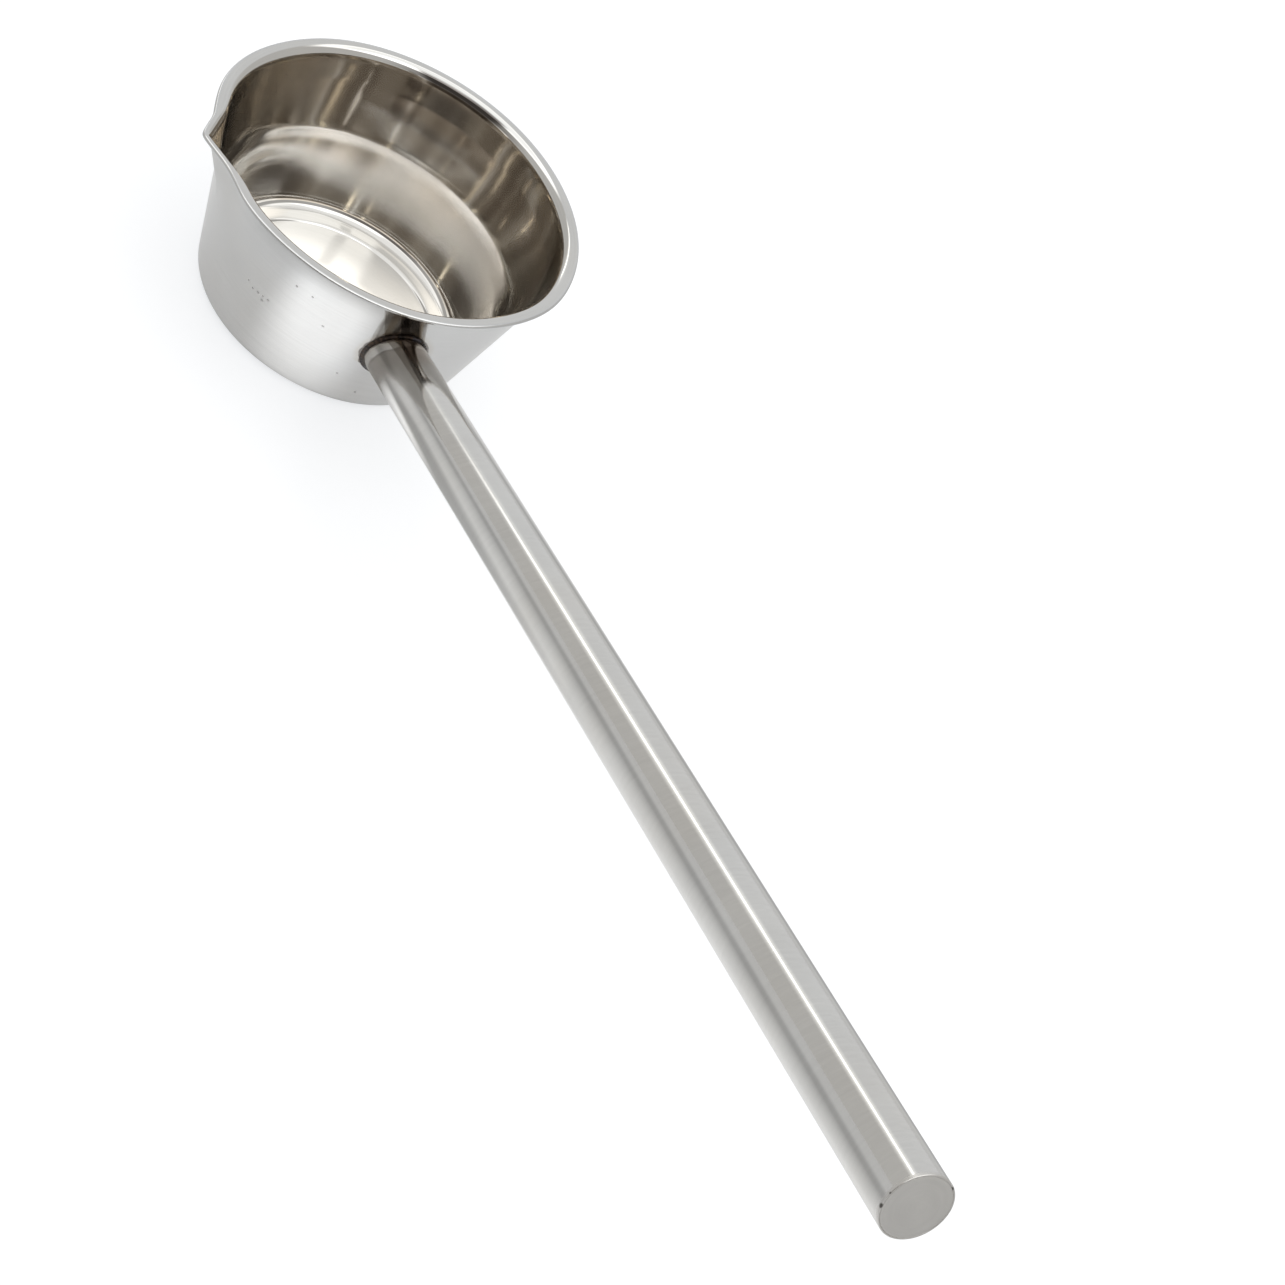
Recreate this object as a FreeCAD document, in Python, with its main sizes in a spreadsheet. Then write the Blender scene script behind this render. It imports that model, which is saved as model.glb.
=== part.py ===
import FreeCAD, Part
import math
import os
import Sketcher
from FreeCAD import Placement, Rotation, Vector

# Water dipper of welded stainless steel: a drawn cup with a folded lip and a
# pinched pouring spout, and a straight tube handle welded to the cup's wall and
# closed by a disc at its far end.
# The origin is the centre of the cup's flat foot, on the plane it stands on. +Z is
# the cup's axis, the handle rises towards +X and the spout points to -Y.

# Driving dimensions, in millimetres and degrees
SIZES = [
    ("cup_height", 70.8, "flat foot to the top of the lip"),
    ("base_diameter", 108.4, "outside of the wall's line at the height of the step"),
    ("mouth_diameter", 140.4, "outside of the wall's line at the height of the lip"),
    ("sheet_gauge", 0.8, "thickness of the cup's sheet"),
    ("base_corner", 6.0, "outside radius between base and wall"),
    ("base_ring", 3.9, "flat ring of the base between its corner and the foot"),
    ("foot_edge", 2.0, "width of the curved edge of the foot"),
    ("foot_step", 0.8, "depth of the flat foot below the ring"),
    ("lip_bend", 2.9, "radius under the bend from wall to lip"),
    ("lip_flat", 1.87, "flat of the lip between bend and rounded edge"),
    ("hem_width", 1.5, "flat of the fold that lies under the lip"),
    ("spout_reach", 4.6, "spout tip beyond the round lip"),
    ("spout_lip", 1.7, "lip width along the spout"),
    ("spout_width", 24.6, "opening of the spout where it leaves the lip"),
    ("spout_drop", 20.0, "height over which the spout runs out down the wall"),
    ("spout_nose", 1.6, "inside radius of the spout's fold"),
    ("handle_height", 40.0, "where the handle's axis leaves the wall"),
    ("handle_tilt", 19.5, "rise of the handle above level, degrees"),
    ("handle_length", 472.0, "wall to end face, along the axis"),
    ("tube_diameter", 22.0, "outside of the handle tube"),
    ("tube_gauge", 0.8, "wall of the handle tube"),
    ("disc_thickness", 1.2, "disc that closes the tube"),
    ("disc_seam", 0.6, "width of the weld round the disc"),
    ("seam_round", 0.3, "rounding where the disc's weld was ground"),
    ("bead_leg", 1.8, "leg of the weld between tube and cup"),
    ("bead_round", 1.3, "rounding of that weld's face"),
    ("cut_overrun", 2.0, "how far a cutting shape passes the metal"),
]
size = {alias: value for alias, value, note in SIZES}

doc = FreeCAD.newDocument("water_dipper")
sheet = doc.addObject("Spreadsheet::Sheet", "sizes")
for row, (alias, value, note) in enumerate(SIZES, start=1):
    sheet.set("A%d" % row, alias)
    sheet.set("B%d" % row, str(value))
    sheet.set("C%d" % row, note)
    sheet.setAlias("B%d" % row, alias)
doc.recompute()

# Derived sizes, as expressions on the sheet
BASE = "sizes.base_diameter / 2"
MOUTH = "sizes.mouth_diameter / 2"
HEIGHT = "sizes.cup_height"
GAUGE = "sizes.sheet_gauge"
STEP = "sizes.foot_step"
SLOPE = "((%s - %s) / (%s - %s))" % (MOUTH, BASE, HEIGHT, STEP)
LEAN = "sqrt(1 + %s ^ 2)" % SLOPE
BEND_HEIGHT = "(%s - %s - sizes.lip_bend)" % (HEIGHT, GAUGE)
EDGE_ROUND = "((sizes.foot_edge ^ 2 + %s ^ 2) / (4 * %s))" % (STEP, STEP)


def wall_at(level):
    """Radius of the wall's outside line at a height."""
    return "(%s + %s * (%s - %s))" % (BASE, SLOPE, level, STEP)


CORNER_CENTRE = "(%s - sizes.base_corner * %s)" % (wall_at("(%s + sizes.base_corner)" % STEP), LEAN)
RING = "(%s - sizes.base_ring)" % CORNER_CENTRE
FOOT = "(%s - sizes.foot_edge)" % RING
BEND_RADIUS = "(%s + sizes.lip_bend * %s)" % (wall_at(BEND_HEIGHT), LEAN)
RIM = "(%s + sizes.lip_flat + %s)" % (BEND_RADIUS, GAUGE)
SPOUT_TOP = "(%s + sizes.spout_reach - sizes.spout_lip)" % RIM
SPOUT_HALF = "sizes.spout_width / 2"
SPOUT_RISE = "(%s - sqrt(%s ^ 2 - (%s) ^ 2))" % (SPOUT_TOP, BEND_RADIUS, SPOUT_HALF)
SPOUT_SLOPE = "(%s / (%s))" % (SPOUT_RISE, SPOUT_HALF)
SPOUT_SPREAD = "(%s + 3 * sizes.lip_bend)" % SPOUT_HALF
SPOUT_SKIN = "(%s * sqrt(1 + %s ^ 2))" % (GAUGE, SPOUT_SLOPE)
SPOUT_FOOT = "(%s - sizes.spout_drop)" % HEIGHT
SPOUT_LOW = "(%s - %s * %s)" % (wall_at(SPOUT_FOOT), GAUGE, LEAN)
SPOUT_LEAN = "((%s - %s) / sizes.spout_drop)" % (SPOUT_TOP, SPOUT_LOW)
TUBE = "sizes.tube_diameter / 2"
HANDLE_START = wall_at("sizes.handle_height")

# The same sizes as numbers, for where each sketch is first drawn
height = size["cup_height"]
gauge = size["sheet_gauge"]
base = size["base_diameter"] / 2
mouth = size["mouth_diameter"] / 2
step = size["foot_step"]
slope = (mouth - base) / (height - step)
lean = math.hypot(1, slope)
edge_round = (size["foot_edge"] ** 2 + step ** 2) / (4 * step)
corner_centre = base + (slope - lean) * size["base_corner"]
foot = corner_centre - size["base_ring"] - size["foot_edge"]
bend_height = height - gauge - size["lip_bend"]
bend_radius = base + slope * (bend_height - step) + size["lip_bend"] * lean
rim = bend_radius + size["lip_flat"] + gauge
spout_top = rim + size["spout_reach"] - size["spout_lip"]
spout_half = size["spout_width"] / 2
spout_slope = (spout_top - math.sqrt(bend_radius ** 2 - spout_half ** 2)) / spout_half
spout_spread = spout_half + 3 * size["lip_bend"]
spout_skin = gauge * math.hypot(1, spout_slope)
spout_foot = height - size["spout_drop"]
spout_low = base + slope * (spout_foot - step) - gauge * lean
spout_lean = (spout_top - spout_low) / size["spout_drop"]


def add_body(label):
    body = doc.addObject("PartDesign::Body", label)
    body.Label = label
    return body


def add_sketch(body, name, role):
    sketch = body.newObject("Sketcher::SketchObject", name)
    plane = [item for item in body.Origin.OriginFeatures if item.Role == role][0]
    sketch.AttachmentSupport = [(plane, "")]
    sketch.MapMode = "FlatFace"
    return sketch


def bind(sketch, name, index, expression):
    sketch.renameConstraint(index, name)
    sketch.setExpression("Constraints." + name, expression)


class Outline:
    """A closed chain of lines and arcs, drawn in order round a sketch."""

    def __init__(self, sketch, start):
        self.sketch = sketch
        self.start = start
        self.here = start
        self.edges = []
        self.clockwise = set()

    def line_to(self, x, y):
        there = Vector(x, y, 0)
        self.edges.append(self.sketch.addGeometry(Part.LineSegment(self.here, there)))
        self.here = there
        return len(self.edges) - 1

    def arc_to(self, x, y, centre, counterclockwise):
        there = Vector(x, y, 0)
        middle = Vector(centre[0], centre[1], 0)
        circle = Part.Circle(middle, Vector(0, 0, 1), (self.here - middle).Length)
        first, last = circle.parameter(self.here), circle.parameter(there)
        if not counterclockwise:
            first, last = last, first
        self.edges.append(self.sketch.addGeometry(Part.ArcOfCircle(circle, first, last)))
        if not counterclockwise:
            self.clockwise.add(len(self.edges) - 1)
        self.here = there
        return len(self.edges) - 1

    def ends(self, item):
        """Which of an edge's points comes first, and which last, on the way round."""
        return (2, 1) if item in self.clockwise else (1, 2)

    def join(self, smooth):
        """Ties each edge to the next. smooth holds the edges that flow into the next."""
        for item, edge in enumerate(self.edges):
            after = (item + 1) % len(self.edges)
            kind = "Tangent" if item in smooth else "Coincident"
            ends = (edge, self.ends(item)[1], self.edges[after], self.ends(after)[0])
            self.sketch.addConstraint(Sketcher.Constraint(kind, *ends))

    def level(self, item):
        self.sketch.addConstraint(Sketcher.Constraint("Horizontal", self.edges[item]))

    def upright(self, item):
        self.sketch.addConstraint(Sketcher.Constraint("Vertical", self.edges[item]))

    def set_x(self, name, item, point, expression):
        edge = self.edges[item]
        value = self.sketch.getPoint(edge, point).x
        self.measure(name, expression, "DistanceX", -1, 1, edge, point, value)

    def set_y(self, name, item, point, expression):
        edge = self.edges[item]
        value = self.sketch.getPoint(edge, point).y
        self.measure(name, expression, "DistanceY", -1, 1, edge, point, value)

    def set_radius(self, name, item, expression):
        edge = self.edges[item]
        self.measure(name, expression, "Radius", edge, self.sketch.Geometry[edge].Radius)

    def measure(self, name, expression, *constraint):
        index = self.sketch.addConstraint(Sketcher.Constraint(*constraint))
        bind(self.sketch, name, index, expression)


def wall_guides(sketch):
    """Two fixed points of the wall's outside line: at the step and at the lip."""
    guides = []
    for name, x, y, across, up in (
        ("base", base, step, BASE, STEP),
        ("mouth", mouth, height, MOUTH, HEIGHT),
    ):
        point = sketch.addGeometry(Part.Point(Vector(x, y, 0)), True)
        index = sketch.addConstraint(Sketcher.Constraint("DistanceX", -1, 1, point, 1, x))
        bind(sketch, name + "_x", index, across)
        index = sketch.addConstraint(Sketcher.Constraint("DistanceY", -1, 1, point, 1, y))
        bind(sketch, name + "_y", index, up)
        guides.append(point)
    return guides


def shell_outside(body):
    """Everything inside the cup's outer surface, filled up to the top of the lip."""
    sketch = add_sketch(body, "cup_outside", "XZ_Plane")
    corner, bend = size["base_corner"], size["lip_bend"]
    half_edge = size["foot_edge"] / 2
    hem = rim - gauge - size["hem_width"]
    outline = Outline(sketch, Vector(0, height, 0))
    axis = outline.line_to(0, 0)
    floor = outline.line_to(foot, 0)
    edge = outline.arc_to(foot + half_edge, step / 2, (foot, edge_round), True)
    edge_top = outline.arc_to(
        foot + 2 * half_edge, step, (foot + 2 * half_edge, step - edge_round), False)
    ring = outline.line_to(corner_centre, step)
    turn = outline.arc_to(
        corner_centre + corner / lean, step + corner - corner * slope / lean,
        (corner_centre, step + corner), True)
    wall = outline.line_to(bend_radius - bend / lean, bend_height + bend * slope / lean)
    curl = outline.arc_to(bend_radius, bend_height + bend, (bend_radius, bend_height), False)
    under = outline.line_to(hem, height - gauge)
    fold_end = outline.line_to(hem, height - 2 * gauge)
    fold = outline.line_to(rim - gauge, height - 2 * gauge)
    round_edge = outline.arc_to(rim - gauge, height, (rim - gauge, height - gauge), True)
    top = outline.line_to(0, height)
    outline.join({floor, edge, edge_top, ring, turn, wall, curl, fold, round_edge})
    for level in (floor, ring, under, fold, top):
        outline.level(level)
    for upright in (axis, fold_end):
        outline.upright(upright)
    outline.set_x("axis_x", axis, 1, "0 mm")
    outline.set_y("cup_height", axis, 1, HEIGHT)
    outline.set_y("foot_plane", floor, 1, "0 mm")
    outline.set_x("foot_radius", floor, 2, FOOT)
    outline.set_x("edge_end", ring, 1, RING)
    outline.set_y("foot_step", ring, 1, STEP)
    outline.set_radius("edge", edge, EDGE_ROUND)
    outline.set_radius("corner", turn, "sizes.base_corner")
    outline.set_radius("bend", curl, "sizes.lip_bend")
    outline.set_y("lip_underside", under, 1, "%s - %s" % (HEIGHT, GAUGE))
    outline.set_x("fold_end", fold_end, 1, "%s - %s - sizes.hem_width" % (RIM, GAUGE))
    outline.set_x("lip_edge", round_edge, 1, "%s - %s" % (RIM, GAUGE))
    outline.set_radius("lip_round", round_edge, GAUGE)
    for guide in wall_guides(sketch):
        sketch.addConstraint(Sketcher.Constraint("PointOnObject", guide, 1, outline.edges[wall]))
    filled = body.newObject("PartDesign::Revolution", "cup_filled")
    filled.Profile = sketch
    filled.ReferenceAxis = (sketch, ["V_Axis"])
    filled.Angle = 360
    doc.recompute()


def shell_inside(body):
    """Cuts the hollow, one sheet thickness inside the outer surface."""
    sketch = add_sketch(body, "cup_inside", "XZ_Plane")
    corner, bend = size["base_corner"] - gauge, size["lip_bend"] + gauge
    half_edge = size["foot_edge"] / 2
    corner_height = step + size["base_corner"]
    turn_share = (edge_round - gauge) / edge_round
    above = height + size["cut_overrun"]
    outline = Outline(sketch, Vector(0, above, 0))
    axis = outline.line_to(0, gauge)
    floor = outline.line_to(foot, gauge)
    edge = outline.arc_to(
        foot + half_edge * turn_share, edge_round - (edge_round - step / 2) * turn_share,
        (foot, edge_round), True)
    outline.arc_to(
        foot + 2 * half_edge, step + gauge, (foot + 2 * half_edge, step - edge_round), False)
    ring = outline.line_to(corner_centre, step + gauge)
    turn = outline.arc_to(
        corner_centre + corner / lean, corner_height - corner * slope / lean,
        (corner_centre, corner_height), True)
    wall = outline.line_to(bend_radius - bend / lean, bend_height + bend * slope / lean)
    curl = outline.arc_to(bend_radius, height, (bend_radius, bend_height), False)
    side = outline.line_to(bend_radius, above)
    top = outline.line_to(0, above)
    outline.join({floor, edge, edge + 1, ring, turn, wall})
    for level in (floor, ring, top):
        outline.level(level)
    for upright in (axis, side):
        outline.upright(upright)
    outline.set_x("axis_x", axis, 1, "0 mm")
    outline.set_y("above", axis, 1, "%s + sizes.cut_overrun" % HEIGHT)
    outline.set_y("foot_top", floor, 1, GAUGE)
    outline.set_x("foot_radius", floor, 2, FOOT)
    outline.set_x("edge_end", ring, 1, RING)
    outline.set_y("step_top", ring, 1, "%s + %s" % (STEP, GAUGE))
    outline.set_radius("edge", edge, "%s - %s" % (EDGE_ROUND, GAUGE))
    outline.set_radius("corner", turn, "sizes.base_corner - %s" % GAUGE)
    outline.set_radius("bend", curl, "sizes.lip_bend + %s" % GAUGE)
    outline.set_x("bend_end", side, 1, BEND_RADIUS)
    outline.set_y("lip_top", side, 1, HEIGHT)
    for number, guide in enumerate(wall_guides(sketch)):
        constraint = Sketcher.Constraint("Distance", guide, 1, outline.edges[wall], gauge)
        index = sketch.addConstraint(constraint)
        bind(sketch, "wall_inset_%d" % number, index, GAUGE)
    hollow = body.newObject("PartDesign::Groove", "cup_hollow")
    hollow.Profile = sketch
    hollow.ReferenceAxis = (sketch, ["V_Axis"])
    hollow.Angle = 360
    doc.recompute()


def spout_section(body, name, level, apex, half, nose, at):
    """A wedge seen from above: a V with a rounded nose towards -Y, open to the axis."""
    sketch = add_sketch(body, name, "XY_Plane")
    sketch.AttachmentOffset = Placement(Vector(0, 0, at["level"]), Rotation())
    sketch.setExpression("AttachmentOffset.Base.z", level)
    steep = math.atan(spout_slope)
    centre = -at["apex"] + at["nose"] / math.cos(steep)
    touch = (at["nose"] * math.sin(steep), centre - at["nose"] * math.cos(steep))
    root = -at["apex"] + spout_slope * at["half"]
    outline = Outline(sketch, Vector(-at["half"], 0, 0))
    left = outline.line_to(-at["half"], root)
    left_leg = outline.line_to(-touch[0], touch[1])
    tip = outline.arc_to(touch[0], touch[1], (0, centre), True)
    right_leg = outline.line_to(at["half"], root)
    right = outline.line_to(at["half"], 0)
    back = outline.line_to(-at["half"], 0)
    outline.join({left_leg, tip})
    for side in (left, right):
        outline.upright(side)
    outline.level(back)
    outline.set_y("back", back, 1, "0 mm")
    outline.set_x("right", right, 1, half)
    outline.set_x("left", left, 1, "-(%s)" % half)
    outline.set_y("right_root", right, 1, "-(%s) + %s * (%s)" % (apex, SPOUT_SLOPE, half))
    outline.set_y("left_root", left, 2, "-(%s) + %s * (%s)" % (apex, SPOUT_SLOPE, half))
    outline.set_radius("nose", tip, nose)
    point = sketch.addGeometry(Part.Point(Vector(0, -at["apex"], 0)), True)
    sketch.addConstraint(Sketcher.Constraint("PointOnObject", point, 1, -2))
    index = sketch.addConstraint(Sketcher.Constraint("DistanceY", point, 1, -1, 1, at["apex"]))
    bind(sketch, "apex", index, apex)
    for leg in (left_leg, right_leg):
        sketch.addConstraint(Sketcher.Constraint("PointOnObject", point, 1, outline.edges[leg]))
    return sketch


def spout_outside(body):
    """The spout's trough as a filled wedge, and the lip that runs along its legs."""
    nose = "sizes.spout_nose + %s" % GAUGE
    drawn = {"half": spout_spread, "nose": size["spout_nose"] + gauge}
    low = dict(drawn, level=spout_foot, apex=spout_low + spout_skin)
    high = dict(drawn, level=height, apex=spout_top + spout_skin)
    bottom = spout_section(body, "spout_outside_low", SPOUT_FOOT,
                           "%s + %s" % (SPOUT_LOW, SPOUT_SKIN), SPOUT_SPREAD, nose, low)
    top = spout_section(body, "spout_outside_high", HEIGHT,
                        "%s + %s" % (SPOUT_TOP, SPOUT_SKIN), SPOUT_SPREAD, nose, high)
    trough = body.newObject("PartDesign::AdditiveLoft", "spout_filled")
    trough.Profile = bottom
    trough.Sections = [top]
    trough.Ruled = True
    doc.recompute()
    lip_nose = "sizes.spout_nose + sizes.spout_lip"
    drawn = {"level": height, "apex": spout_top + size["spout_lip"], "half": spout_half,
             "nose": size["spout_nose"] + size["spout_lip"]}
    lip = spout_section(body, "spout_lip", HEIGHT, "%s + sizes.spout_lip" % SPOUT_TOP,
                        SPOUT_HALF, lip_nose, drawn)
    plate = body.newObject("PartDesign::Pad", "spout_lip_plate")
    plate.Profile = lip
    plate.Reversed = True
    plate.Length = 2 * gauge
    plate.setExpression("Length", "2 * " + GAUGE)
    doc.recompute()


def spout_inside(body):
    """Cuts the spout's channel through the wall and the lip."""
    over = size["cut_overrun"]
    nose = "sizes.spout_nose"
    drawn = {"half": spout_spread, "nose": size["spout_nose"]}
    low = dict(drawn, level=spout_foot, apex=spout_low)
    high = dict(drawn, level=height + over, apex=spout_top + spout_lean * over)
    bottom = spout_section(body, "spout_inside_low", SPOUT_FOOT, SPOUT_LOW,
                           SPOUT_SPREAD, nose, low)
    top = spout_section(body, "spout_inside_high", "%s + sizes.cut_overrun" % HEIGHT,
                        "%s + %s * sizes.cut_overrun" % (SPOUT_TOP, SPOUT_LEAN),
                        SPOUT_SPREAD, nose, high)
    channel = body.newObject("PartDesign::SubtractiveLoft", "spout_channel")
    channel.Profile = bottom
    channel.Sections = [top]
    channel.Ruled = True
    doc.recompute()


def make_cup():
    body = add_body("cup_shell")
    shell_outside(body)
    spout_outside(body)
    filled = body.Shape.Volume
    shell_inside(body)
    hollowed = body.Shape.Volume
    spout_inside(body)
    if not body.Shape.Volume < hollowed < filled:
        raise RuntimeError("the cup's hollow or its spout was not cut")
    return body


def along_handle(feature, distance):
    """Stands a round shape on the handle's axis, this far out from the wall."""
    feature.setExpression("Placement.Rotation.Axis.x", "0")
    feature.setExpression("Placement.Rotation.Axis.y", "1")
    feature.setExpression("Placement.Rotation.Axis.z", "0")
    feature.setExpression("Placement.Rotation.Angle", "90 deg - sizes.handle_tilt * 1 deg")
    reach = "(%s) * cos(sizes.handle_tilt * 1 deg)" % distance
    climb = "(%s) * sin(sizes.handle_tilt * 1 deg)" % distance
    feature.setExpression("Placement.Base.x", "%s + %s" % (HANDLE_START, reach))
    feature.setExpression("Placement.Base.z", "sizes.handle_height + %s" % climb)


def rod(name, radius, start, length):
    shape = doc.addObject("Part::Cylinder", name)
    shape.setExpression("Radius", radius)
    shape.setExpression("Height", length)
    along_handle(shape, start)
    return shape


def cup_core(name, skin):
    """The cup's outer cone, made thicker by skin. Its seam is turned away from the handle."""
    cone = doc.addObject("Part::Cone", name)
    cone.Placement = Placement(Vector(), Rotation(Vector(0, 0, 1), 180))
    cone.setExpression("Radius1", "%s + (%s) * %s" % (BASE, skin, LEAN))
    cone.setExpression("Radius2", "%s + (%s) * %s" % (MOUTH, skin, LEAN))
    cone.setExpression("Height", "%s - %s" % (HEIGHT, STEP))
    cone.setExpression("Placement.Base.z", STEP)
    return cone


def cut(name, whole, tool):
    shape = doc.addObject("Part::Cut", name)
    shape.Base = whole
    shape.Tool = tool
    return shape


def make_tube():
    """The handle tube, its near end shaped to sit on the cup's wall."""
    start = "-sizes.tube_diameter"
    length = "sizes.handle_length + sizes.tube_diameter - sizes.disc_thickness"
    whole = rod("tube_outside", TUBE, start, length)
    bore = rod("tube_bore", "%s - sizes.tube_gauge" % TUBE, start, length)
    pipe = cut("tube_straight", whole, bore)
    return cut("handle_tube", pipe, cup_core("tube_cope", "0"))


def make_disc():
    start = "sizes.handle_length - sizes.disc_thickness"
    return rod("handle_end_disc", "%s - sizes.disc_seam" % TUBE, start, "sizes.disc_thickness")


def round_edges(name, base_shape, radius_name, chosen):
    """Rounds the edges of a shape for which chosen(edge) holds."""
    doc.recompute()
    radius = size[radius_name]
    numbers = [number for number, edge in enumerate(base_shape.Shape.Edges, start=1)
               if chosen(edge)]
    shape = doc.addObject("Part::Fillet", name)
    shape.Base = base_shape
    shape.Edges = [(number, radius, radius) for number in numbers]
    return shape


def handle_distance(point):
    """How far a point lies from the handle's axis, and how far along it."""
    tilt = math.radians(size["handle_tilt"])
    direction = Vector(math.cos(tilt), 0, math.sin(tilt))
    rise = size["handle_height"] - step
    start = Vector(base + slope * rise, 0, size["handle_height"])
    out = point - start
    along = out.dot(direction)
    return (out - direction * along).Length, along


def make_disc_seam():
    """The weld round the disc, ground level with the tube and the end face."""
    start = "sizes.handle_length - sizes.disc_thickness"
    outer = rod("seam_outside", TUBE, start, "sizes.disc_thickness")
    inner = rod("seam_inside", "%s - sizes.disc_seam" % TUBE, start, "sizes.disc_thickness")
    ring = cut("seam_ring", outer, inner)

    def outer_end(edge):
        away, along = handle_distance(edge.valueAt(edge.FirstParameter))
        middle = size["tube_diameter"] / 2 - size["disc_seam"] / 2
        late = size["handle_length"] - size["disc_thickness"] / 2
        whole = len(edge.Vertexes) == 1 and edge.Curve.TypeId == "Part::GeomCircle"
        return whole and away > middle and along > late

    return round_edges("end_disc_weld", ring, "seam_round", outer_end)


def make_bead():
    """The weld between tube and cup: a ring that fills the corner all round the tube."""
    start = "-sizes.tube_diameter"
    length = "2 * sizes.tube_diameter"
    plug = doc.addObject("Part::Common", "bead_plug")
    plug.Base = rod("bead_outside", "%s + sizes.bead_leg" % TUBE, start, length)
    plug.Tool = cup_core("bead_depth", "sizes.bead_leg")

    def outer_rim(edge):
        point = edge.valueAt((edge.FirstParameter + edge.LastParameter) / 2)
        away = handle_distance(point)[0]
        on_side = away > size["tube_diameter"] / 2 + size["bead_leg"] / 2
        skin = (math.hypot(point.x, point.y) - base - slope * (point.z - step)) / lean
        return on_side and skin > size["bead_leg"] / 2

    rounded = round_edges("bead_face", plug, "bead_round", outer_rim)
    on_wall = cut("bead_on_wall", rounded, cup_core("bead_wall", "0"))
    return cut("cup_weld_bead", on_wall, rod("bead_bore", TUBE, start, length))


def check_document(parts):
    """Stops if any feature failed or any piece is not one or more sound solids."""
    for item in doc.Objects:
        if "Invalid" in item.State or "Error" in item.State:
            raise RuntimeError("feature failed: " + item.Name)
    for part in parts:
        shape = part.Shape
        if shape.isNull() or not shape.isValid() or len(shape.Solids) != 1:
            raise RuntimeError("not one sound solid: " + part.Label)


parts = [make_cup(), make_tube(), make_disc(), make_disc_seam(), make_bead()]
doc.recompute()
check_document(parts)
os.makedirs("parts", exist_ok=True)
for part in parts:
    part.Shape.exportStep("parts/%s.step" % part.Label)
    print(part.Label, "volume %.1f mm3" % part.Shape.Volume, part.Shape.BoundBox)
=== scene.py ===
import math

import bpy
import numpy as np
from mathutils import Euler, Matrix


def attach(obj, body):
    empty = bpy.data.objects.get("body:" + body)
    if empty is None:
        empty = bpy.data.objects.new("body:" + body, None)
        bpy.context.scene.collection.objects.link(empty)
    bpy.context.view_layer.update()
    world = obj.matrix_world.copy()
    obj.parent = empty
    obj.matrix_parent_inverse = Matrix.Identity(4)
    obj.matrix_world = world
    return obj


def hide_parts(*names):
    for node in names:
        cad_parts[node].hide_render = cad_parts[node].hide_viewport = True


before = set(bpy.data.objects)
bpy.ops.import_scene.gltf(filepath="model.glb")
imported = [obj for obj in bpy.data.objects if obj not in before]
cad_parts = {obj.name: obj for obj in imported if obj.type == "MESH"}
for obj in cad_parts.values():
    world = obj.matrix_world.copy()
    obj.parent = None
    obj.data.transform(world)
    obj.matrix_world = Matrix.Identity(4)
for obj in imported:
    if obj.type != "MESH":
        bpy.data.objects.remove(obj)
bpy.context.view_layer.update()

MM = 0.001

# The cup, in millimetres, with the frame's own sizes. The radii are the outside's.
HEIGHT = 70.8
GAUGE = 0.8
STEP = 0.8  # how far the middle of the floor is stepped down
BASE = 54.2  # the cone's radius at the floor, and the next at the top
MOUTH = 70.2
SLOPE = (MOUTH - BASE) / (HEIGHT - STEP)
LEAN = math.hypot(1, SLOPE)
TAPER = math.atan(SLOPE)
CORNER = 6.0  # between base and wall
CORNER_R = BASE + (SLOPE - LEAN) * CORNER
CORNER_Z = STEP + CORNER
RING_WIDTH = 3.9
STEP_WIDTH = 2.0
RING = CORNER_R - RING_WIDTH
FOOT = RING - STEP_WIDTH
MIDDLE = 0.4  # the small round face in the middle of the foot and of the floor
BEND = 2.9  # between wall and lip
BEND_Z = HEIGHT - GAUGE - BEND
BEND_R = BASE + SLOPE * (BEND_Z - STEP) + BEND * LEAN
RIM = 75.0
HEM_RETURN = 1.5  # how far the fold reaches back under the lip
HEM = RIM - GAUGE - HEM_RETURN

# How the cup strays from a true cone, in millimetres and degrees. A swelling is (size, place
# round the cup, width); a negative one is a dent.
BELLY = 0.2
FULLEST_Z = 57.8
DENTS_FROM_Z = 34
SHOULDERS = (-1.35, 15, 8)  # on both sides of the spout's point
SHOULDER_SHARES = (0.3, 1.0)  # of that size, before the point and past it
SHOULDER_TURN = 3  # how fast one share turns into the other
BUMP = (-0.9, -150, 20)
SIDE = (0.8, 45, 15)
SIDE_GROWTH = 8  # the height over which it comes in
WAVES = ((0.12, 3, 0.7), (0.08, 5, 2.1))  # (size, waves round the cup, phase)

# The inside, as (height, how far it stands out from the cone), and how soft its crease is
DRAWN = ((STEP + GAUGE, 0.0), (CORNER_Z, -0.18), (32.3, 0.2), (36.3, -0.135),
         (FULLEST_Z, 0.18), (BEND_Z, 0.0))
CREASE_SOFTNESS = 2.2

# The spout: a V seen from above, with its point towards -Y. A nose is how round the V's point
# is on one face of the sheet, and a blend how softly the V meets the wall there.
V_SLOPE = 0.5437  # how far the V's legs go back for each millimetre sideways
V_END = math.radians(28.5)
SPOUT_DROP = 24.0  # how far under the top its line leaves the wall
SPOUT_GROWTH = 0.295  # how far out it goes for each millimetre up
SPOUT_SKIN = GAUGE * math.hypot(1, V_SLOPE)  # the sheet, measured along the V's middle
FLARE = 0.9
FLARE_DEPTH = 4.0
CURL = 0.5
LIP_TIP = 79.6  # the lip's edge at the spout's point
LIP_NOSE, LIP_BLEND = 3.3, 0.8
OUT_NOSE, OUT_BLEND = 2.4, 1.6
IN_NOSE, IN_BLEND = 1.6, 1.4
HEM_BLEND = 0.6
HEM_AT = 1.0  # how far under the lip's top the hem meets the spout
HEM_CLEARANCE = 0.3
HEM_LEAST = 0.25
HEM_SIDE = 3  # the wall stays inside the hem's edge over this height under the top

# The columns of the cup's mesh: (from, to, step) in degrees from the spout's point
COLUMNS = ((0, 14, 0.2), (14, 32, 0.35), (32, 180, 0.75))

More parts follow.
